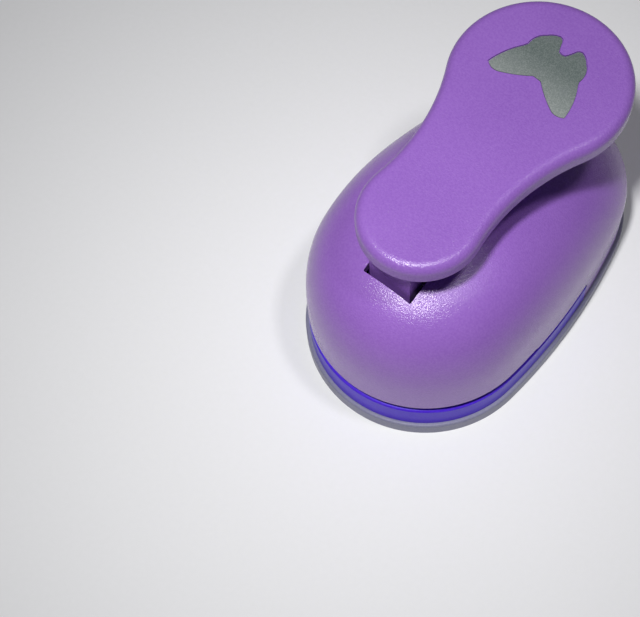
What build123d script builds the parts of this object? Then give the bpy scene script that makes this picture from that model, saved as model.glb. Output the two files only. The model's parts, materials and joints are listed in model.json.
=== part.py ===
from build123d import *
import os
from math import atan2, cos, degrees, radians, sin, sqrt

# A thumb-lever craft punch that cuts a butterfly out of paper.
# Millimetres. +Z up, the paper slot faces -Y, the thumb pad is towards +Y, and X is across.
# The origin is on the surface that the punch stands on, under the middle of its length.

# outline of the body, seen from above: four arcs, tangent to each other
body_width = 48.0
body_length = 76.0
front_ease = 0.5          # the front arc's radius is this much under half the width
rear_ease = 2.5           # and the rear arc's this much
rim_step = 0.8            # the rim at the foot stands this far outside the walls

# levels of the body
foot_thickness = 3.3
table_height = 9.3        # the table that the paper slides on
table_thickness = 1.6
throat_gap = 2.0          # height of the paper slot at the front
side_gap = 1.3            # and along the sides, behind the step
throat_depth = 45.7       # from the front of the rim to the slot's end
step_depth = 28.6         # from the front of the rim to the step in the slot
wall = 2.0
edge_round = 0.5
block_corner = 4.0        # of the block that carries the die plate

# the housing's dome
wall_top = 13.3           # the walls stand straight up to here
dome_top = 37.8
dome_power = 3.0          # how square the shoulders are
slope_power = 1.6         # the long slope down to the back
slope_ease = 0.88
crown_ease = 2.0          # the crown is this much further back than half the width
ridge_run = 7.5           # flat stretch of the ridge behind the crown
widest_share = 0.485      # half a level's width over its length, at most
dome_levels = [0, 0.08, 0.18, 0.32, 0.46, 0.6, 0.72, 0.82, 0.9, 0.955, 0.985, 0.998]

# the cut-out and its die
butterfly_span = 26.0
drawn_span = 25.8         # as the outline below is drawn
die_setback = 30.0        # from the front of the rim to the middle of the die
die_clearance = 0.04
guide_clearance = 0.06
die_thickness = 2.0
stripper_thickness = 1.2
plate_width = 34.0
plate_fit = 0.1           # gap round the die plate in its pocket
plate_corner = 2.0
chute_margin = 1.6        # room round the cut-out in the chute
chute_corner = 3.0
ledge = 2.0               # the die plate rests on a ledge this wide

# lever
lever_top = 50.3
lever_depth = 4.0
lever_skin = 2.2
lever_rim = 2.0
lever_round = 1.9
front_lobe = 11.25
rear_lobe = 16.8
lobe_spacing = 34.2
neck_radius = 41.0
lobe_lead = 3.25          # the front lobe's middle is this far behind the pin
rib_thickness = 1.6
rib_rise = 0.4            # the ribs stop this far above the rim
pad_ring = 9.0
icon_span = 17.4
drawn_icon_span = 17.4
icon_lead = 2.05          # the inlay's middle, behind the middle of the thumb pad
icon_turn = -4.5          # the inlay sits a little askew
icon_thickness = 0.3
icon_sink = 0.1           # it lies this far below the lever's top
icon_gap = 0.18           # groove round it

# the lever's leg, cam and pin
leg_width = 9.0
leg_front = 5.3           # from the pin to the leg's front face
leg_back = 5.0
leg_bottom = 4.4          # radius of the leg's end, round the pin
pin_height = 30.3
pin_radius = 1.5
running_clearance = 0.05
seat_clearance = 0.02
cam_arm = 12.0            # the cam pushes the head down this far per radian of the lever
cam_start = 0.42          # unrolled angle of the cam's flank at rest, in radians
cam_thickness = 4.0
cam_gap = 0.08
press_angle = 24.0        # the lever's whole turn, in degrees
rivet_radius = 1.0
rivet_height = 5.0        # above the pin
rivet_offset = 1.2
rivet_inset = 2.4
cam_front = 2.6           # the cam plate, round the pin
cam_rise = 7.0
hub_radius = 3.2
nose_width = 1.5
flank_spare = 0.05        # the flank runs on this far at both ends, in radians

# opening in the housing's top for the leg
slot_side = 0.8
slot_front = 0.85
slot_back = 4.8
slot_corner = 0.3

# mechanism frame
sheet = 1.5
cheek_gap = 0.3
cheek_top = 33.3
cheek_bottom = 26.3
spacer_setback = 1.5      # the spacer's front face, behind the end of the slot
spacer_depth = 5.5
foot_width = 32.0
cheek_nose = 3.7
cheek_chamfer = 2.0
cheek_run = 8.0           # from the pin to where the top edge starts to slope down
cheek_notch = 6.0
cheek_rear_top = 26.8

# punch, posts and springs
cutter_rest = 0.3         # the cutter's edge rests this far up inside the stripper plate
head_thickness = 3.0
head_overhang = 0.4
head_round = 1.5
post_spread = 32.0        # between the two guide posts
post_radius = 1.5
pin_margin = 0.6          # pin and posts stand this far out of their clips
ear_radius = 3.0
spring_radius = 2.2       # to the middle of the wire
wire_radius = 0.35
spring_turns = 5
clip_thickness = 0.6
clip_width = 1.1
clip_gap = 0.15
groove_depth = 0.3
clip_mouth = 1.5          # width of the clip's opening over its inner radius

# screws
stack_spread = 24.0
stack_radius = 1.5
small_radius = 1.1
screw_clearance = 0.1
head_ratio = 1.85         # screw head's radius over its shank's
cross_length = 1.2        # of the cross in the head, over the head's radius
cross_width = 0.3
cross_depth = 0.6         # over the head's height
tip_gap = 0.35            # left below the end of a screw's hole
stack_tip = 0.35          # the long screws stand this far out of the frame's foot
small_head = 0.8
screw_sink = 1.3
screw_recess = 0.2        # how far the heads under the foot lie in
stack_floor = 1.6         # left under the die plate, for the heads to bear on
bottom_screw_length = 3.8
housing_screw_length = 8.0
stripper_screw_length = 6.0
punch_screw_spread = 14.0
punch_screw_length = 6.0
front_boss_gap = 0.25     # between the pin's ends and the bosses
front_boss_setback = 13.5  # in front of the die's middle
front_boss_radius = 2.6
rear_boss_spread = 26.0
rear_boss_setback = 16.0  # from the back of the rim
rear_boss_radius = 3.2
table_boss_spread = 20.0
table_boss_setback = 9.0  # from the front of the rim

# places worked out from the sizes above
front_y = -body_length / 2
rear_y = body_length / 2
half_width = body_width / 2
die_y = front_y + die_setback
pin_y = die_y - cam_arm
crown_y = front_y + half_width + crown_ease
throat_y = front_y + throat_depth
spacer_y = throat_y + spacer_setback
plates_back = spacer_y + spacer_depth
throat_top = table_height + throat_gap
stripper_top = throat_top + stripper_thickness
die_bottom = table_height - die_thickness
head_top = pin_height - cam_arm * cam_start - cam_gap
head_bottom = head_top - head_thickness
leg_half = leg_width / 2
cheek_inner = leg_half + cheek_gap
cheek_outer = cheek_inner + sheet
clip_x = cheek_outer + clip_gap
pin_half = clip_x + clip_thickness + pin_margin
front_boss_spread = 2 * (pin_half + front_boss_gap + front_boss_radius)
lever_bottom = lever_top - lever_depth
skin_bottom = lever_top - lever_skin
scale = butterfly_span / drawn_span
icon_scale = icon_span / drawn_icon_span
lobe_y = pin_y + lobe_lead
step_y = front_y + step_depth
stack_sink = die_bottom - foot_thickness - stack_floor
stack_places = [(side * stack_spread / 2, spacer_y + spacer_depth / 2) for side in (-1, 1)]
punch_screw_places = [(side * punch_screw_spread / 2, die_y) for side in (-1, 1)]
rivet_z = pin_height + rivet_height
rivet_places = [(pin_y - rivet_offset, rivet_z), (pin_y + leg_back - rivet_inset, rivet_z)]
front_boss_places = [(side * front_boss_spread / 2, die_y - front_boss_setback) for side in (-1, 1)]
rear_boss_places = [(side * rear_boss_spread / 2, rear_y - rear_boss_setback) for side in (-1, 1)]
table_boss_places = [(side * table_boss_spread / 2, front_y + table_boss_setback) for side in (-1, 1)]
post_places = [(side * post_spread / 2, die_y) for side in (-1, 1)]


def egg(half, front, rear, front_less, rear_less, mode=Mode.ADD):
    """The body's outline in the sketch at hand: front, rear and two side arcs."""
    front_r = half - front_less
    rear_r = half - rear_less
    span = rear - front - front_r - rear_r
    # the side radius follows from tangency, as the smaller root of a quadratic
    slope = (front_less - rear_less) / span
    level = span + (rear_less * rear_r - front_less * front_r) / span
    linear = 4 * front_less - 2 * slope * level
    constant = level**2 + 4 * front_less * front_r
    root = 2 * constant / (linear + sqrt(linear**2 - 4 * slope**2 * constant))
    side_r = (root + half) / 2
    side_x = half - side_r
    front_c = front + front_r
    rear_c = rear - rear_r
    side_c = front_c + sqrt(front_less * (root - front_r))
    front_a = degrees(atan2(front_c - side_c, -side_x))
    rear_a = degrees(atan2(rear_c - side_c, -side_x))
    with BuildLine() as outline:
        CenterArc((side_x, side_c), side_r, front_a, rear_a - front_a)
        CenterArc((0, rear_c), rear_r, rear_a, 180 - 2 * rear_a)
        CenterArc((-side_x, side_c), side_r, 180 - rear_a, rear_a - front_a)
        CenterArc((0, front_c), front_r, 180 - front_a, 180 + 2 * front_a)
    make_face(outline.edges(), mode=mode)


def body_egg(inset, mode=Mode.ADD):
    """The body's outline, set in from the rim at the foot."""
    egg(half_width - inset, front_y + inset, rear_y - inset, front_ease, rear_ease, mode)


def dome(inset, bottom, top):
    """A closed solid from bottom up to the crown, straight-walled up to wall_top."""
    half = half_width - inset
    front = front_y + inset
    rear = rear_y - inset
    ridge_y = crown_y + ridge_run
    with BuildPart() as solid:
        with BuildSketch(Plane.XY.offset(bottom)):
            body_egg(inset)
        extrude(amount=wall_top - bottom)
        for level in dome_levels:
            shrink = (1 - level**dome_power) ** (1 / dome_power)
            slope = (1 - level**slope_power) ** slope_ease
            level_front = crown_y - (crown_y - front) * shrink
            level_rear = ridge_y + (rear - ridge_y) * slope
            level_half = min(half * shrink, widest_share * (level_rear - level_front))
            with BuildSketch(Plane.XY.offset(wall_top + level * (top - wall_top))):
                egg(level_half, level_front, level_rear, front_ease * shrink, rear_ease * shrink)
        loft()
    return solid.part


def resized(shape, size, grow):
    """A shape drawn about the origin, scaled, and then grown all round by a clearance."""
    result = shape.scale(size)
    if grow:
        result = offset(result, amount=grow, kind=Kind.INTERSECTION)
    return result


def butterfly(size, grow=0.0):
    """A butterfly about the origin, head towards -Y, grown all round by a clearance."""
    with BuildSketch() as shape:
        with BuildLine():
            ThreePointArc((0, -4.2), (0.65, -3.95), (1.1, -3.3))
            ThreePointArc((1.1, -3.3), (6.5, -7.3), (10.4, -8.6))
            ThreePointArc((10.4, -8.6), (12.0, -8.5), (12.9, -7.8))
            Line((12.9, -7.8), (11.4, -4.2))
            ThreePointArc((11.4, -4.2), (10.5, -1.3), (9.6, 0.5))
            ThreePointArc((9.6, 0.5), (8.9, 1.2), (8.0, 1.5))
            ThreePointArc((8.0, 1.5), (8.6, 3.7), (7.6, 6.0))
            ThreePointArc((7.6, 6.0), (6.0, 8.0), (4.1, 9.5))
            ThreePointArc((4.1, 9.5), (3.0, 9.8), (2.2, 9.1))
            ThreePointArc((2.2, 9.1), (1.4, 7.3), (0.7, 5.4))
            Line((0.7, 5.4), (0, 5.3))
            mirror(about=Plane.YZ)
        make_face()
    return resized(shape.sketch, size, grow)


def inlay(size, grow=0.0):
    """The plainer butterfly let into the thumb pad, about the origin, turned a little."""
    with BuildSketch() as shape:
        with BuildLine():
            Line((0, -2.75), (0.85, -2.75))
            ThreePointArc((0.85, -2.75), (3.2, -4.5), (5.8, -6.0))
            ThreePointArc((5.8, -6.0), (7.4, -6.3), (8.7, -5.7))
            ThreePointArc((8.7, -5.7), (8.0, -2.7), (6.2, 0.9))
            Line((6.2, 0.9), (5.85, 1.7))
            ThreePointArc((5.85, 1.7), (5.75, 3.4), (4.5, 5.2))
            ThreePointArc((4.5, 5.2), (3.7, 6.0), (2.6, 6.55))
            ThreePointArc((2.6, 6.55), (2.1, 6.45), (1.6, 5.85))
            ThreePointArc((1.6, 5.85), (1.2, 4.9), (0.7, 4.0))
            Line((0.7, 4.0), (0, 3.8))
            mirror(about=Plane.YZ)
        make_face()
    return resized(shape.sketch, size, grow).rotate(Axis.Z, icon_turn)


def plate_outline(front, back, width, corner, mode=Mode.ADD):
    """A rounded rectangle between two places along Y, in the sketch at hand."""
    with Locations((0, (front + back) / 2)):
        RectangleRounded(width, back - front, corner, mode=mode)


def circles(places, radius, mode=Mode.ADD):
    with Locations(places):
        Circle(radius, mode=mode)


def block(left, right, low, high, mode=Mode.ADD):
    """A rectangle between its four sides, in the sketch at hand."""
    with Locations(((left + right) / 2, (low + high) / 2)):
        Rectangle(right - left, high - low, mode=mode)


def bell(inset):
    """The lever's outline in the sketch at hand: two lobes and the hollow neck between them."""
    front_r = front_lobe - inset
    rear_r = rear_lobe - inset
    neck_r = neck_radius + inset
    reach = front_r + neck_r
    neck_y = (reach**2 - (rear_r + neck_r) ** 2 + lobe_spacing**2) / (2 * lobe_spacing)
    neck_x = sqrt(reach**2 - neck_y**2)
    front_a = degrees(atan2(neck_y, neck_x))
    rear_a = degrees(atan2(neck_y - lobe_spacing, neck_x))
    with BuildLine() as outline:
        CenterArc((0, lobe_y), front_r, 180 - front_a, 180 + 2 * front_a)
        CenterArc((neck_x, lobe_y + neck_y), neck_r, 180 + rear_a, front_a - rear_a)
        CenterArc((0, lobe_y + lobe_spacing), rear_r, rear_a, 180 - 2 * rear_a)
        CenterArc((-neck_x, lobe_y + neck_y), neck_r, -front_a, front_a - rear_a)
    make_face(outline.edges())


def clip_outline(shaft_radius, places):
    """An open ring that snaps into a groove, in the sketch at hand."""
    inner = shaft_radius - groove_depth + seat_clearance
    circles(places, inner + clip_width)
    circles(places, inner, Mode.SUBTRACT)
    with Locations(places):
        with Locations((0, inner)):
            Rectangle(inner * clip_mouth, inner * 2, mode=Mode.SUBTRACT)


def screws(places, head_from, head_to, tip, radius):
    """Screws that go in from below, each with a cross recess in its head."""
    head_r = radius * head_ratio
    with BuildPart() as group:
        with BuildSketch(Plane.XY.offset(head_from)):
            circles(places, head_r)
        extrude(amount=head_to - head_from)
        with BuildSketch(Plane.XY.offset(head_to)):
            circles(places, radius)
        extrude(amount=tip - head_to)
        with BuildSketch(Plane.XY.offset(head_from)):
            with Locations(places):
                Rectangle(head_r * cross_length, head_r * cross_width)
                Rectangle(head_r * cross_width, head_r * cross_length)
        extrude(amount=(head_to - head_from) * cross_depth, mode=Mode.SUBTRACT)
    return group.part


def save(piece, name):
    piece.label = name
    export_step(piece, "parts/" + name + ".step")


os.makedirs("parts", exist_ok=True)
cutter_shape = butterfly(scale)
die_hole = butterfly(scale, die_clearance)
guide_hole = butterfly(scale, guide_clearance)
icon_shape = inlay(icon_scale)
icon_hole = inlay(icon_scale, icon_gap)
cutter_box = cutter_shape.bounding_box()
chute_front = die_y + cutter_box.min.Y - chute_margin
chute_back = die_y + cutter_box.max.Y + chute_margin
chute_width = butterfly_span + 2 * chute_margin
plates_front = chute_front - ledge
clear_radius = small_radius + screw_clearance
pilot_radius = small_radius + seat_clearance
head_hole = small_radius * head_ratio + screw_clearance

# foot and base

with BuildPart() as bottom_plate:
    with BuildSketch():
        body_egg(0)
    extrude(amount=foot_thickness)
    fillet(bottom_plate.edges().group_by(Axis.Z)[-1], edge_round)
    with BuildSketch():
        plate_outline(chute_front, chute_back, chute_width, chute_corner)
        circles(rear_boss_places + table_boss_places, clear_radius)
    extrude(amount=foot_thickness, mode=Mode.SUBTRACT)
    with BuildSketch():
        circles(rear_boss_places + table_boss_places, head_hole)
    extrude(amount=screw_sink, mode=Mode.SUBTRACT)
save(bottom_plate.part, "bottom_plate")

with BuildPart() as base:
    with BuildSketch(Plane.XY.offset(foot_thickness)):
        body_egg(rim_step)
    extrude(amount=table_height - foot_thickness)
    fillet(base.edges().group_by(Axis.Z)[-1], edge_round)
    # behind the slot the housing's wall comes down outside the base
    with BuildSketch(Plane.XY.offset(foot_thickness)):
        block(-half_width, half_width, throat_y, rear_y)
        body_egg(rim_step + wall + cheek_gap, Mode.SUBTRACT)
    extrude(amount=table_height - foot_thickness, mode=Mode.SUBTRACT)
    # hollow underneath, but for the block that carries the die plate and the screw bosses
    with BuildSketch(Plane.XY.offset(foot_thickness)):
        body_egg(rim_step + wall)
        block(-half_width, half_width, throat_y - wall, rear_y, Mode.SUBTRACT)
        body_egg(rim_step + 2 * wall + cheek_gap)
        block_width = plate_width + 2 * wall
        plate_outline(plates_front - wall, plates_back + wall, block_width, block_corner, Mode.SUBTRACT)
        circles(rear_boss_places + table_boss_places, rear_boss_radius, Mode.SUBTRACT)
    extrude(amount=table_height - table_thickness - foot_thickness, mode=Mode.SUBTRACT)
    with BuildSketch(Plane.XY.offset(die_bottom)):
        plate_outline(
            plates_front - plate_fit, plates_back + plate_fit, plate_width + 2 * plate_fit, plate_corner
        )
    extrude(amount=die_thickness, mode=Mode.SUBTRACT)
    with BuildSketch(Plane.XY.offset(foot_thickness)):
        plate_outline(chute_front, chute_back, chute_width, chute_corner)
        circles(stack_places, stack_radius + screw_clearance)
    extrude(amount=die_bottom - foot_thickness, mode=Mode.SUBTRACT)
    with BuildSketch(Plane.XY.offset(foot_thickness)):
        circles(stack_places, stack_radius * head_ratio + screw_clearance)
    extrude(amount=stack_sink, mode=Mode.SUBTRACT)
    with BuildSketch(Plane.XY.offset(foot_thickness)):
        circles(rear_boss_places, clear_radius)
    extrude(amount=table_height - foot_thickness, mode=Mode.SUBTRACT)
    with BuildSketch(Plane.XY.offset(foot_thickness)):
        circles(table_boss_places, pilot_radius)
    extrude(amount=bottom_screw_length, mode=Mode.SUBTRACT)
save(base.part, "base")

# housing

outer_dome = dome(rim_step, table_height, dome_top)
cavity = dome(rim_step + wall, table_height - wall, dome_top - wall)

with BuildPart() as bosses:
    with BuildSketch(Plane.XY.offset(stripper_top)):
        circles(front_boss_places, front_boss_radius)
    extrude(amount=dome_top - stripper_top)
    with BuildSketch(Plane.XY.offset(table_height)):
        circles(rear_boss_places, rear_boss_radius)
    extrude(amount=dome_top - table_height)
    add(outer_dome, mode=Mode.INTERSECT)

with BuildPart() as housing:
    add(outer_dome)
    add(cavity, mode=Mode.SUBTRACT)
    add(bosses.part)
    with BuildSketch(Plane.XY.offset(foot_thickness)):
        body_egg(rim_step)
        body_egg(rim_step + wall, Mode.SUBTRACT)
        block(-half_width, half_width, front_y, throat_y, Mode.SUBTRACT)
    extrude(amount=table_height - foot_thickness)
    with BuildSketch(Plane.XY.offset(stripper_top)):
        circles(front_boss_places, pilot_radius)
    extrude(amount=stripper_screw_length, mode=Mode.SUBTRACT)
    with BuildSketch(Plane.XY.offset(table_height)):
        circles(rear_boss_places, pilot_radius)
    extrude(amount=housing_screw_length, mode=Mode.SUBTRACT)
    # the paper slot, higher at the front than along the sides
    with BuildSketch(Plane.XY.offset(table_height)):
        block(-half_width, half_width, front_y, step_y)
    extrude(amount=throat_gap, mode=Mode.SUBTRACT)
    with BuildSketch(Plane.XY.offset(table_height)):
        block(-half_width, half_width, step_y, throat_y)
    extrude(amount=side_gap, mode=Mode.SUBTRACT)
    # opening for the lever's leg
    with BuildSketch(Plane.XY.offset(pin_height)):
        plate_outline(
            pin_y - leg_front - slot_front,
            pin_y + leg_back + slot_back,
            leg_width + 2 * slot_side,
            slot_corner,
        )
    extrude(amount=dome_top - pin_height, mode=Mode.SUBTRACT)
save(housing.part, "housing")

# die, spacer and stripper plate

with BuildPart() as die_plate:
    with BuildSketch(Plane.XY.offset(die_bottom)):
        plate_outline(plates_front, plates_back, plate_width, plate_corner)
        with Locations((0, die_y)):
            add(die_hole, mode=Mode.SUBTRACT)
        circles(stack_places, stack_radius + screw_clearance, Mode.SUBTRACT)
    extrude(amount=die_thickness)
save(die_plate.part, "die_plate")

with BuildPart() as throat_spacer:
    with BuildSketch(Plane.XY.offset(table_height)):
        plate_outline(spacer_y, plates_back, plate_width, plate_corner)
        circles(stack_places, stack_radius + screw_clearance, Mode.SUBTRACT)
    extrude(amount=throat_gap)
save(throat_spacer.part, "throat_spacer")

stripper_front = front_boss_places[0][1] - front_boss_radius
with BuildPart() as stripper_plate:
    with BuildSketch(Plane.XY.offset(throat_top)):
        body_egg(rim_step + wall + cheek_gap)
        block(-half_width, half_width, stripper_front, plates_back, Mode.INTERSECT)
        with Locations((0, die_y)):
            add(guide_hole, mode=Mode.SUBTRACT)
        circles(stack_places, stack_radius + screw_clearance, Mode.SUBTRACT)
        circles(post_places, post_radius, Mode.SUBTRACT)
        circles(front_boss_places, clear_radius, Mode.SUBTRACT)
    extrude(amount=stripper_thickness)
    with BuildSketch(Plane.XY.offset(throat_top)):
        circles(front_boss_places, head_hole)
    extrude(amount=small_head, mode=Mode.SUBTRACT)
save(stripper_plate.part, "stripper_plate")

# mechanism frame: a foot, two cheeks and a web between them

cheek_profile = [
    (pin_y - cheek_nose, cheek_bottom),
    (pin_y - cheek_nose, cheek_top - cheek_chamfer),
    (pin_y - cheek_nose + cheek_chamfer, cheek_top),
    (pin_y + cheek_run, cheek_top),
    (plates_back, cheek_rear_top),
    (plates_back, stripper_top),
    (spacer_y, stripper_top),
    (spacer_y, cheek_bottom - cheek_notch),
    (spacer_y - cheek_notch, cheek_bottom),
]
with BuildPart() as mechanism_frame:
    with BuildSketch(Plane.XY.offset(stripper_top)):
        plate_outline(spacer_y, plates_back, foot_width, sheet)
        circles(stack_places, stack_radius + seat_clearance, Mode.SUBTRACT)
    extrude(amount=sheet)
    with BuildSketch(Plane.YZ.offset(cheek_inner)):
        with BuildLine():
            Polyline(cheek_profile, close=True)
        make_face()
        circles([(pin_y, pin_height)], pin_radius + seat_clearance, Mode.SUBTRACT)
    extrude(amount=sheet)
    mirror(about=Plane.YZ)
    with BuildSketch(Plane.XY.offset(stripper_top)):
        block(-cheek_outer, cheek_outer, plates_back - sheet, plates_back)
    extrude(amount=cheek_rear_top - stripper_top)
save(mechanism_frame.part, "mechanism_frame")

# lever, with its leg forked round the cam

rib_front = pin_y + leg_back
rib_back = lobe_y + lobe_spacing + rear_lobe - lever_rim
icon_y = lobe_y + lobe_spacing + icon_lead
icon_floor = lever_top - icon_sink - icon_thickness
with BuildPart() as lever:
    with BuildSketch(Plane.XY.offset(lever_bottom)):
        bell(0)
    extrude(amount=lever_depth)
    fillet(lever.edges().group_by(Axis.Z)[-1], lever_round)
    with BuildSketch(Plane.XY.offset(lever_bottom)):
        bell(lever_rim)
    extrude(amount=lever_depth - lever_skin, mode=Mode.SUBTRACT)
    with BuildSketch(Plane.XY.offset(lever_bottom + rib_rise)):
        circles([(0, lobe_y + lobe_spacing)], pad_ring)
        circles([(0, lobe_y + lobe_spacing)], pad_ring - rib_thickness, Mode.SUBTRACT)
        block(-rib_thickness / 2, rib_thickness / 2, rib_front, rib_back)
    extrude(amount=lever_depth - lever_skin - rib_rise)
    with BuildSketch(Plane.YZ.offset(-leg_half)):
        block(pin_y - leg_front, pin_y + leg_back, pin_height, skin_bottom)
        circles([(pin_y, pin_height)], leg_bottom)
    extrude(amount=leg_width)
    with BuildSketch(Plane.YZ.offset(-leg_half)):
        circles([(pin_y, pin_height)], pin_radius + running_clearance)
        circles(rivet_places, rivet_radius + seat_clearance)
    extrude(amount=leg_width, mode=Mode.SUBTRACT)
    fork = cam_thickness / 2 + seat_clearance
    with BuildSketch(Plane.YZ.offset(-fork)):
        block(
            pin_y - hub_radius - cheek_gap,
            pin_y + leg_back,
            pin_height - leg_bottom,
            pin_height + cam_rise + seat_clearance,
        )
    extrude(amount=2 * fork, mode=Mode.SUBTRACT)
    with BuildSketch(Plane.XY.offset(icon_floor)):
        with Locations((0, icon_y)):
            add(icon_hole)
    extrude(amount=lever_top - icon_floor, mode=Mode.SUBTRACT)
save(lever.part, "lever")

with BuildPart() as icon_inlay:
    with BuildSketch(Plane.XY.offset(icon_floor)):
        with Locations((0, icon_y)):
            add(icon_shape)
    extrude(amount=icon_thickness)
save(icon_inlay.part, "icon_inlay")

# the cam's flank is an involute of a circle of radius cam_arm, so the head follows the angle evenly
flank = []
for step in range(7):
    turn = -flank_spare + (radians(press_angle) + 2 * flank_spare) * step / 6
    unrolled = cam_start + turn
    flank.append(
        (
            pin_y + cam_arm * (cos(turn) + unrolled * sin(turn)),
            pin_height + cam_arm * (sin(turn) - unrolled * cos(turn)),
        )
    )
with BuildPart() as lever_cam:
    with BuildSketch(Plane.YZ.offset(-cam_thickness / 2)):
        with BuildLine():
            Spline(flank)
            Polyline(
                flank[-1],
                (flank[-1][0] + nose_width / 2, pin_height - nose_width),
                (pin_y + cam_arm, pin_height + nose_width),
                (pin_y + leg_back, pin_height + cam_rise),
                (pin_y - cam_front, pin_height + cam_rise),
                (pin_y - cam_front, pin_height),
                (pin_y, pin_height - hub_radius),
                flank[0],
            )
        make_face()
        circles([(pin_y, pin_height)], hub_radius)
        circles([(pin_y, pin_height)], pin_radius + running_clearance, Mode.SUBTRACT)
        circles(rivet_places, rivet_radius + seat_clearance, Mode.SUBTRACT)
    extrude(amount=cam_thickness)
save(lever_cam.part, "lever_cam")

with BuildPart() as cam_rivets:
    with BuildSketch(Plane.YZ.offset(-leg_half)):
        circles(rivet_places, rivet_radius)
    extrude(amount=leg_width)
save(cam_rivets.part, "cam_rivets")

# the pin and its clips

with BuildPart() as lever_pin:
    with BuildSketch(Plane.YZ.offset(-pin_half)):
        circles([(pin_y, pin_height)], pin_radius)
    extrude(amount=2 * pin_half)
    with BuildSketch(Plane.YZ.offset(clip_x), Plane.YZ.offset(-clip_x - clip_thickness)):
        circles([(pin_y, pin_height)], pin_radius)
        circles([(pin_y, pin_height)], pin_radius - groove_depth, Mode.SUBTRACT)
    extrude(amount=clip_thickness, mode=Mode.SUBTRACT)
save(lever_pin.part, "lever_pin")

with BuildPart() as pin_clips:
    with BuildSketch(Plane.YZ.offset(clip_x), Plane.YZ.offset(-clip_x - clip_thickness)):
        clip_outline(pin_radius, [(pin_y, pin_height)])
    extrude(amount=clip_thickness)
save(pin_clips.part, "pin_clips")

# punch: cutter, head and the screws between them

with BuildPart() as punch_cutter:
    with BuildSketch(Plane.XY.offset(throat_top + cutter_rest)):
        with Locations((0, die_y)):
            add(cutter_shape)
    extrude(amount=head_bottom - throat_top - cutter_rest)
    with BuildSketch(Plane.XY.offset(head_bottom)):
        circles(punch_screw_places, pilot_radius)
    extrude(amount=-punch_screw_length, mode=Mode.SUBTRACT)
save(punch_cutter.part, "punch_cutter")

with BuildPart() as punch_head:
    with BuildSketch(Plane.XY.offset(head_bottom)):
        plate_outline(
            die_y + cutter_box.min.Y - head_overhang,
            die_y + cutter_box.max.Y + head_overhang,
            butterfly_span + 2 * head_overhang,
            head_round,
        )
        with Locations((0, die_y)):
            Rectangle(post_spread, 2 * ear_radius)
        circles(post_places, ear_radius)
        circles(post_places, post_radius + running_clearance, Mode.SUBTRACT)
        circles(punch_screw_places, clear_radius, Mode.SUBTRACT)
    extrude(amount=head_thickness)
    with BuildSketch(Plane.XY.offset(head_top)):
        circles(punch_screw_places, head_hole)
    extrude(amount=-screw_sink, mode=Mode.SUBTRACT)
save(punch_head.part, "punch_head")

turned = screws(
    punch_screw_places,
    -head_top + cam_gap,
    -head_top + screw_sink,
    punch_screw_length - head_bottom,
    small_radius,
)
save(turned.mirror(Plane.XY), "punch_screws")

# guide posts, their clips and the return springs

clip_z = head_top + clip_gap
post_top = clip_z + clip_thickness + pin_margin
spring_length = head_bottom - stripper_top
for side, place in zip(("left", "right"), post_places):
    with BuildPart() as guide_post:
        with BuildSketch(Plane.XY.offset(throat_top)):
            circles([place], post_radius)
        extrude(amount=post_top - throat_top)
        with BuildSketch(Plane.XY.offset(clip_z)):
            circles([place], post_radius)
            circles([place], post_radius - groove_depth, Mode.SUBTRACT)
        extrude(amount=clip_thickness, mode=Mode.SUBTRACT)
    save(guide_post.part, "guide_post_" + side)
    with BuildPart() as return_spring:
        rise = spring_length - 2 * wire_radius - 2 * seat_clearance
        with BuildLine():
            coil = Helix(
                rise / spring_turns,
                rise,
                spring_radius,
                center=(*place, stripper_top + wire_radius + seat_clearance),
            )
        with BuildSketch(Plane(origin=coil @ 0, z_dir=coil % 0)):
            Circle(wire_radius)
        sweep(is_frenet=True)
    save(return_spring.part, "return_spring_" + side)

with BuildPart() as post_clips:
    with BuildSketch(Plane.XY.offset(clip_z)):
        clip_outline(post_radius, post_places)
    extrude(amount=clip_thickness)
save(post_clips.part, "post_clips")

# screws that go in from below

save(
    screws(
        stack_places,
        foot_thickness + seat_clearance,
        foot_thickness + stack_sink,
        stripper_top + sheet + stack_tip,
        stack_radius,
    ),
    "stack_screws",
)
save(
    screws(
        front_boss_places,
        throat_top,
        throat_top + small_head,
        stripper_top + stripper_screw_length - tip_gap,
        small_radius,
    ),
    "stripper_screws",
)
save(
    screws(
        rear_boss_places,
        screw_recess,
        screw_sink,
        table_height + housing_screw_length - tip_gap,
        small_radius,
    ),
    "housing_screws",
)
save(
    screws(
        table_boss_places,
        screw_recess,
        screw_sink,
        foot_thickness + bottom_screw_length - tip_gap,
        small_radius,
    ),
    "bottom_screws",
)
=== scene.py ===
import bpy
import bmesh
import json
from math import cos, pi, radians, sin
from mathutils import Matrix, Vector


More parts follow.
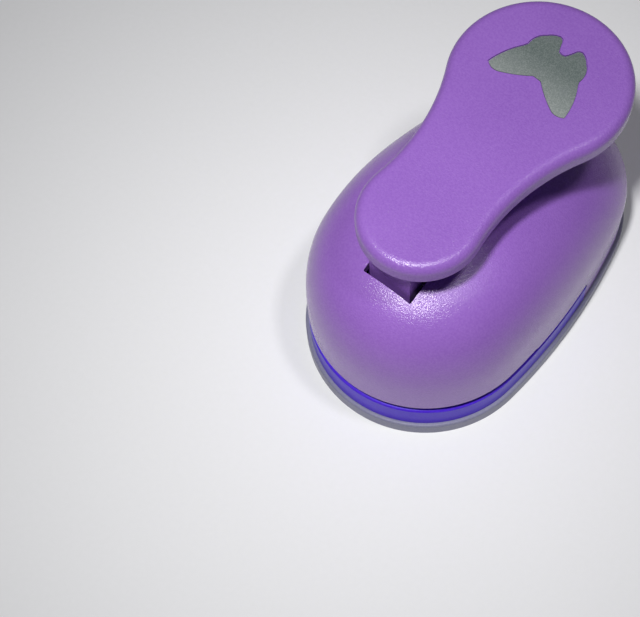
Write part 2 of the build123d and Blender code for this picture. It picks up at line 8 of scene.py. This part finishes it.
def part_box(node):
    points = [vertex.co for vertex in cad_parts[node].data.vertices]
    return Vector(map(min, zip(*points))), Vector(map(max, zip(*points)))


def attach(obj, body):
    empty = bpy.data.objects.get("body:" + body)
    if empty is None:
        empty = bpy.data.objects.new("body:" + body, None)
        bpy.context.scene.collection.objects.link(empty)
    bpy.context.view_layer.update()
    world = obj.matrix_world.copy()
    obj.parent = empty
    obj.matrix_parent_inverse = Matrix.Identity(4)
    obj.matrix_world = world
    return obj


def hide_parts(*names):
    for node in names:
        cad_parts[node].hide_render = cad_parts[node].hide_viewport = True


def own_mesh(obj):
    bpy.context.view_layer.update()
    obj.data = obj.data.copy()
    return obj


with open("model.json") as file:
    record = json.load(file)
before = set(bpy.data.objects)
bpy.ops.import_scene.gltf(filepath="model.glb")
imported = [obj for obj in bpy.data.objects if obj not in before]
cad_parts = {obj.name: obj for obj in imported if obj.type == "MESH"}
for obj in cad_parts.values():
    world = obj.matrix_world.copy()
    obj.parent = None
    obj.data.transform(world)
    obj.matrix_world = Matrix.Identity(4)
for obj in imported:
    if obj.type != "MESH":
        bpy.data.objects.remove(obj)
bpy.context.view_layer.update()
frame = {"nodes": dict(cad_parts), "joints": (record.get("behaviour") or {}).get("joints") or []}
nodes = frame["nodes"]
mm = 0.001


# camera: looks down at the front right corner, a little rolled

camera = {
    "azimuth": 45.3435,
    "elevation": 65.633,
    "roll": -6.3932,
    "distance": 303.585 * mm,
    "aim": (0, -4.962 * mm, 1.3 * mm),
    "slide": (26.767 * mm, 4.713 * mm),  # across and up, in the turned frame
    "lens": 84.95,  # lens and sensor in millimetres, as the editor shows them
    "sensor": 36,
    "clip": (10 * mm, 10),
}


def cameraAxes(look):
    azimuth, elevation, roll = (radians(look[key]) for key in ("azimuth", "elevation", "roll"))
    back = Vector((sin(azimuth) * cos(elevation), -cos(azimuth) * cos(elevation), sin(elevation)))
    right = (-back).cross(Vector((0, 0, 1))).normalized()
    up = right.cross(-back)
    return right * cos(roll) + up * sin(roll), up * cos(roll) - right * sin(roll), back


def placeCamera(look):
    right, up, back = cameraAxes(look)
    data = bpy.data.cameras.new("viewCamera")
    data.lens, data.sensor_width = look["lens"], look["sensor"]
    data.clip_start, data.clip_end = look["clip"]
    eye = bpy.data.objects.new("viewCamera", data)
    turn = Matrix((right, up, back)).transposed().to_4x4()
    across, lift = look["slide"]
    place = Vector(look["aim"]) + back * look["distance"] - right * across - up * lift
    eye.matrix_world = Matrix.Translation(place) @ turn
    bpy.context.scene.collection.objects.link(eye)
    bpy.context.scene.camera = eye


placeCamera(camera)
print("camera placed")


# lights and floor

studio = {
    "floorSize": 3.0,
    "floorPale": (0.82, 0.83, 0.85),
    "floorDeep": (0.79, 0.8, 0.82),
    "floorShine": 0.2,
    "floorRoughness": 0.75,
    "floorGrain": 900,
    "grainDepth": 0.02 * mm,
    "grainRoughness": 0.1,
    "worldColour": (0.9, 0.92, 1.0),
    "worldStrength": 0.045,
    "target": (-4 * mm, -22 * mm, 40 * mm),
}
keyLight = {
    "towards": (0.05, -0.29, 0.955),
    "distance": 0.4,
    "size": 0.035,
    "power": 0.175,
    "spread": 60,
    "colour": (1, 0.99, 0.97),
}
lampLight = {
    "towards": (0.27, 0.12, 0.955),
    "distance": 0.5,
    "size": 0.05,
    "power": 0.115,
    "spread": 90,
    "colour": (1, 0.98, 1),
}


def areaLight(name, look):
    towards = Vector(look["towards"]).normalized()
    data = bpy.data.lights.new(name, "AREA")
    data.size, data.energy, data.color = look["size"], look["power"], look["colour"]
    data.spread = radians(look["spread"])
    lamp = bpy.data.objects.new(name, data)
    lamp.location = Vector(studio["target"]) + towards * look["distance"]
    lamp.rotation_euler = towards.to_track_quat("Z", "Y").to_euler()
    bpy.context.scene.collection.objects.link(lamp)


def lightWorld(look):
    world = bpy.data.worlds.new("studioWorld")
    world.use_nodes = True
    sky = world.node_tree.nodes["Background"]
    sky.inputs["Color"].default_value = (*look["worldColour"], 1)
    sky.inputs["Strength"].default_value = look["worldStrength"]
    bpy.context.scene.world = world


areaLight("keyLight", keyLight)
areaLight("lampLight", lampLight)
lightWorld(studio)
bpy.context.scene.view_settings.view_transform = "Standard"
print("studio lit")


# material tools: a socket that takes sums, and one way to add any node


class Wire:
    def __init__(self, finish, socket):
        self.finish, self.socket = finish, socket

    def maths(self, operation, first, second):
        return self.finish.add("ShaderNodeMath", {"operation": operation}, {0: first, 1: second})

    def __add__(self, other):
        return self.maths("ADD", self, other)

    def __radd__(self, other):
        return self.maths("ADD", other, self)

    def __sub__(self, other):
        return self.maths("SUBTRACT", self, other)

    def __rsub__(self, other):
        return self.maths("SUBTRACT", other, self)

    def __mul__(self, other):
        return self.maths("MULTIPLY", self, other)

    def __rmul__(self, other):
        return self.maths("MULTIPLY", other, self)


class Finish:
    def __init__(self, name, **uniform):
        self.material = bpy.data.materials.new(name)
        self.material.use_nodes = True
        self.tree = self.material.node_tree
        self.shader = self.tree.nodes["Principled BSDF"]
        for key, value in uniform.items():
            self.shader.inputs[key.replace("_", " ")].default_value = value
        self.place = self.add("ShaderNodeTexCoord", out="Object")

    def add(self, kind, settings=None, inputs=None, out=0):
        node = self.tree.nodes.new(kind)
        for key, value in (settings or {}).items():
            setattr(node, key, value)
        for key, value in (inputs or {}).items():
            self.join(value, node.inputs[key])
        return Wire(self, node.outputs[out])

    def join(self, value, socket):
        if isinstance(value, Wire):
            self.tree.links.new(value.socket, socket)
        else:
            socket.default_value = value

    def noise(self, scale, detail=3, roughness=0.5, place=None):
        inputs = {
            "Vector": place or self.place,
            "Scale": scale,
            "Detail": detail,
            "Roughness": roughness,
        }
        return self.add("ShaderNodeTexNoise", inputs=inputs)

    def cells(self, scale):
        return self.add(
            "ShaderNodeTexVoronoi",
            {"feature": "F1"},
            {"Vector": self.place, "Scale": scale, "Randomness": 1.0},
        )

    def hairlines(self, scale, stretch, share, soft=0.12):
        drawn = self.add(
            "ShaderNodeMapping",
            {"vector_type": "POINT"},
            {"Vector": self.place, "Scale": stretch},
        )
        return self.remap(self.noise(scale, detail=2, place=drawn), (share, share + soft))

    def remap(self, value, span):
        low, high = span
        return self.add(
            "ShaderNodeMapRange",
            {"clamp": True},
            {"Value": value, "From Min": low, "From Max": high, "To Min": 0, "To Max": 1},
        )

    def blend(self, amount, first, second):
        return self.add(
            "ShaderNodeMix",
            {"data_type": "RGBA"},
            {"Factor": amount, 6: first, 7: second},  # 6, 7 and output 2 are the colour sockets
            out=2,
        )

    def bump(self, height, distance, under=None):
        inputs = {"Height": height, "Distance": distance, "Strength": 1}
        if under:
            inputs["Normal"] = under
        return self.add("ShaderNodeBump", inputs=inputs)

    def drive(self, **sockets):
        for key, value in sockets.items():
            self.join(value, self.shader.inputs[key.replace("_", " ")])
        return self.material


def dress(names, material):
    for name in names.split():
        for slot in nodes[name].material_slots:
            slot.material = material


# plastics: a cloudy colour with fine specks, a satin grain, slight moulding waves and faint scuffs


def mouldedPlastic(name, look):
    finish = Finish(name, IOR=look["refraction"], Specular_IOR_Level=look["shine"])
    cloud = finish.remap(finish.noise(look["cloudScale"], detail=2), look["cloudSpan"])
    speck = finish.remap(finish.noise(look["speckScale"], detail=2), look["speckSpan"])
    colour = finish.blend(cloud, (*look["deep"], 1), (*look["pale"], 1))
    colour = finish.blend(speck * look["speckle"], colour, (*look["glint"], 1))
    smear = finish.remap(finish.noise(look["smearScale"], detail=4, roughness=0.6), look["smearSpan"])
    grain = finish.noise(look["grainScale"], detail=2, roughness=0.6)
    scuff = finish.hairlines(look["scuffScale"], look["scuffStretch"], look["scuffShare"])
    normal = finish.bump(finish.noise(look["rippleScale"], detail=1), look["rippleDepth"])
    normal = finish.bump(grain, look["grainDepth"], under=normal)
    normal = finish.bump(scuff, look["scuffDepth"], under=normal)
    return finish.drive(
        Base_Color=colour,
        Roughness=smear * look["smear"] + scuff * look["scuffShine"] + look["roughness"],
        Normal=normal,
    )


purpleShell = {
    "deep": (0.25, 0.11, 0.47),
    "pale": (0.28, 0.125, 0.51),
    "glint": (0.4, 0.22, 0.66),
    "speckle": 0.22,
    "refraction": 1.49,
    "shine": 0.5,
    "cloudScale": 45,
    "cloudSpan": (0.3, 0.7),
    "speckScale": 2600,
    "speckSpan": (0.35, 0.65),
    "smearScale": 160,
    "smearSpan": (0.4, 0.75),
    "smear": 0.05,
    "roughness": 0.2,
    "grainScale": 3600,
    "grainDepth": 0.08 * mm,
    "rippleScale": 60,
    "rippleDepth": 0.03 * mm,
    "scuffScale": 700,
    "scuffStretch": (1, 0.04, 1),  # long marks along Y
    "scuffShare": 0.7,
    "scuffDepth": 0.001 * mm,
    "scuffShine": 0.02,
}
# lever purple: the housing purple darkened by about 8 percent, a painted shade over the whole lever
shadedLeverPurple = dict(
    purpleShell,
    deep=(0.23, 0.1, 0.44),
    pale=(0.26, 0.117, 0.485),
    glint=(0.38, 0.21, 0.63),
    roughness=0.22,
    scuffStretch=(0.05, 1, 1),  # long marks along X
)
violetBase = dict(
    purpleShell,
    deep=(0.06, 0.016, 0.56),
    pale=(0.075, 0.02, 0.64),
    glint=(0.12, 0.06, 0.8),
    shine=0.12,
    roughness=0.3,
    grainDepth=0.01 * mm,
    rippleDepth=0.008 * mm,
)
# foot colour: the violet base plastic paled to grey-lavender, a painted reflection of the white floor
# on the foot's lip
reflectionPaledFoot = dict(
    violetBase,
    deep=(0.17, 0.17, 0.26),
    pale=(0.2, 0.2, 0.3),
    glint=(0.34, 0.34, 0.42),
    shine=0.35,
    roughness=0.4,
    grainDepth=0.02 * mm,
)
dress("housing", mouldedPlastic("housingPlastic", purpleShell))
dress("lever", mouldedPlastic("leverPlastic", shadedLeverPurple))
dress("base", mouldedPlastic("basePlastic", violetBase))
dress("bottom_plate", mouldedPlastic("footPlastic", reflectionPaledFoot))
print("plastics made")


# silver foil of the inlay: fine flakes, paler at its front end as a painted sheen


def speckledFoil(name, look):
    finish = Finish(name, Metallic=look["metal"])
    flake = finish.cells(look["flakeScale"])
    cloud = finish.noise(look["cloudScale"])
    along = finish.add("ShaderNodeSeparateXYZ", inputs={"Vector": finish.place}, out="Y")
    # painted sheen: the ground and the flakes paler at the foil's front end (low Y), deeper towards
    # its back
    sheen = finish.remap(along, (look["paleEnd"], look["deepEnd"]))
    ground = finish.blend(sheen, (*look["pale"], 1), (*look["deep"], 1))
    spark = finish.blend(sheen, (*look["spark"], 1), (*look["pale"], 1))
    glitter = finish.remap(flake, look["flakeSpan"]) * look["sparkle"]
    colour = finish.blend(glitter, ground, spark)
    tint = finish.remap(cloud, look["cloudSpan"]) * look["tint"]
    colour = finish.blend(tint, colour, (*look["cool"], 1))
    emboss = finish.noise(look["embossScale"], detail=2)
    normal = finish.bump(emboss, look["embossDepth"])
    normal = finish.bump(flake, look["flakeDepth"], under=normal)
    return finish.drive(
        Base_Color=colour,
        Roughness=flake * look["sheen"] + look["roughness"],
        Normal=normal,
    )


silverFoil = {
    "metal": 0.35,
    "flakeScale": 5200,
    "flakeSpan": (0.2, 0.8),
    "cloudScale": 300,
    "cloudSpan": (0.55, 0.8),
    # the painted sheen runs from paleEnd to deepEnd
    "paleEnd": 13 * mm,  # along Y
    "deepEnd": 21 * mm,
    "deep": (0.11, 0.145, 0.14),
    "pale": (0.24, 0.275, 0.27),
    "spark": (0.4, 0.43, 0.43),
    "sparkle": 0.6,
    "cool": (0.2, 0.22, 0.25),
    "tint": 0.25,
    "embossScale": 1500,
    "embossDepth": 0.012 * mm,
    "flakeDepth": 0.01 * mm,
    "sheen": 0.2,
    "roughness": 0.38,
}
dress("icon_inlay", speckledFoil("iconFoil", silverFoil))
print("foil made")


# steels: patchy tone, drawn or ground hairlines, small dark pits


def workedSteel(name, look):
    finish = Finish(name, Metallic=1)
    patch = finish.remap(finish.noise(look["patchScale"]), look["patchSpan"])
    marks = finish.hairlines(look["markScale"], look["markStretch"], look["markShare"])
    pits = finish.remap(finish.noise(look["pitScale"], detail=2), look["pitSpan"])
    colour = finish.blend(patch, (*look["deep"], 1), (*look["pale"], 1))
    colour = finish.blend(pits * look["stain"], colour, (*look["soil"], 1))
    normal = finish.bump(marks, look["markDepth"])
    normal = finish.bump(pits, look["pitDepth"], under=normal)
    return finish.drive(
        Base_Color=colour,
        Roughness=marks * look["markShine"] + patch * look["patchShine"] + look["roughness"],
        Normal=normal,
    )


groundSteel = {
    "deep": (0.5, 0.51, 0.53),
    "pale": (0.62, 0.63, 0.65),
    "soil": (0.2, 0.19, 0.2),
    "patchScale": 120,
    "patchSpan": (0.35, 0.7),
    "markScale": 2400,
    "markStretch": (0.04, 1, 1),
    "markShare": 0.45,
    "markDepth": 0.006 * mm,
    "markShine": 0.12,
    "pitScale": 1400,
    "pitSpan": (0.62, 0.75),
    "pitDepth": 0.004 * mm,
    "stain": 0.35,
    "patchShine": 0.08,
    "roughness": 0.22,
}
zincSheet = dict(
    groundSteel,
    deep=(0.46, 0.48, 0.5),
    pale=(0.58, 0.58, 0.55),
    patchScale=260,
    markStretch=(1, 1, 0.08),
    markShare=0.6,
    markDepth=0.003 * mm,
    roughness=0.34,
)
turnedSteel = dict(
    groundSteel,
    markScale=3600,
    markStretch=(1, 1, 1),
    markShare=0.5,
    stain=0.2,
    roughness=0.16,
)
drawnWire = dict(
    groundSteel,
    deep=(0.36, 0.36, 0.38),
    pale=(0.5, 0.5, 0.52),
    markStretch=(1, 1, 0.2),
    stain=0.5,
    roughness=0.28,
)
platedScrew = dict(
    zincSheet,
    deep=(0.5, 0.52, 0.56),
    pale=(0.6, 0.6, 0.58),
    patchScale=420,
    stain=0.25,
    roughness=0.26,
)
dress("die_plate lever_cam punch_cutter", workedSteel("dieSteel", groundSteel))
dress("throat_spacer stripper_plate mechanism_frame punch_head", workedSteel("frameSteel", zincSheet))
dress("cam_rivets lever_pin guide_post_left guide_post_right", workedSteel("pinSteel", turnedSteel))
springSteel = workedSteel("springSteel", drawnWire)
dress("pin_clips post_clips", springSteel)
screwSteel = workedSteel("screwSteel", platedScrew)
dress("punch_screws stack_screws stripper_screws housing_screws bottom_screws", screwSteel)
print("steels made")


# return springs: closed coils at both ends, wound around the guide posts

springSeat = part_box("stripper_plate")[1].z
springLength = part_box("punch_head")[0].z - springSeat
punchStroke = next(joint["range_m"][1] for joint in frame["joints"] if joint["name"] == "punch_slide")
returnSpring = {
    "gap": 0.02 * mm,  # left free under and over the spring
    "coilRadius": 2.2 * mm,  # to the middle of the wire
    "wireRadius": 0.35 * mm,
    "wireSides": 12,
    "turnSteps": 36,  # sections in one turn
    "endTurns": 0.75,
    "endPitch": 0.72 * mm,  # the end coils nearly touch
    "openTurns": 4,
}


def windSpring(name, centre, look):
    inset = look["gap"] + look["wireRadius"]
    rise = springLength - 2 * inset
    endRise = look["endTurns"] * look["endPitch"]
    wireStart = centre + Vector((look["coilRadius"], 0, inset))
    upright = Matrix.Translation(wireStart) @ Matrix.Rotation(pi / 2, 4, "X")
    bm = bmesh.new()
    ring = bmesh.ops.create_circle(
        bm, segments=look["wireSides"], radius=look["wireRadius"], matrix=upright
    )
    bm.faces.new(ring["verts"])
    ends = bm.edges[:]
    runs = (
        (look["endTurns"], endRise),
        (look["openTurns"], rise - 2 * endRise),
        (look["endTurns"], endRise),
    )
    for turns, lift in runs:
        steps = round(turns * look["turnSteps"])
        swept = bmesh.ops.spin(
            bm,
            geom=ends,
            cent=centre,
            axis=(0, 0, 1),
            dvec=(0, 0, lift / steps),  # for each step
            angle=2 * pi * turns,
            steps=steps,
            use_duplicate=False,
        )
        ends = [item for item in swept["geom_last"] if isinstance(item, bmesh.types.BMEdge)]
    bmesh.ops.contextual_create(bm, geom=ends)
    bmesh.ops.recalc_face_normals(bm, faces=bm.faces)
    mesh = bpy.data.meshes.new(name)
    bm.to_mesh(mesh)
    bm.free()
    mesh.shade_smooth()
    mesh.materials.append(springSteel)
    spring = bpy.data.objects.new(name, mesh)
    bpy.context.scene.collection.objects.link(spring)
    return spring


for side in ("left", "right"):
    low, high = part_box("guide_post_" + side)
    seat = Vector(((low.x + high.x) / 2, (low.y + high.y) / 2, springSeat))
    spring = windSpring("coilSpring" + side.title(), seat, returnSpring)
    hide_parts("return_spring_" + side)
    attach(spring, "body")
    1 - punchStroke / springLength
    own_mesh(spring)
print("springs wound")


def layFloor(look):
    mesh = bpy.data.meshes.new("floor")
    floor = bpy.data.objects.new("floor", mesh)
    bm = bmesh.new()
    halfSide = look["floorSize"] / 2
    bmesh.ops.create_grid(bm, x_segments=1, y_segments=1, size=halfSide)
    bm.to_mesh(mesh)
    bm.free()
    bpy.context.scene.collection.objects.link(floor)
    finish = Finish("floorPaper", Specular_IOR_Level=look["floorShine"])
    fibre = finish.noise(look["floorGrain"])
    colour = finish.blend(fibre, (*look["floorDeep"], 1), (*look["floorPale"], 1))
    mesh.materials.append(
        finish.drive(
            Base_Color=colour,
            Roughness=fibre * look["grainRoughness"] + look["floorRoughness"],
            Normal=finish.bump(fibre, look["grainDepth"]),
        )
    )


layFloor(studio)
print("floor laid")
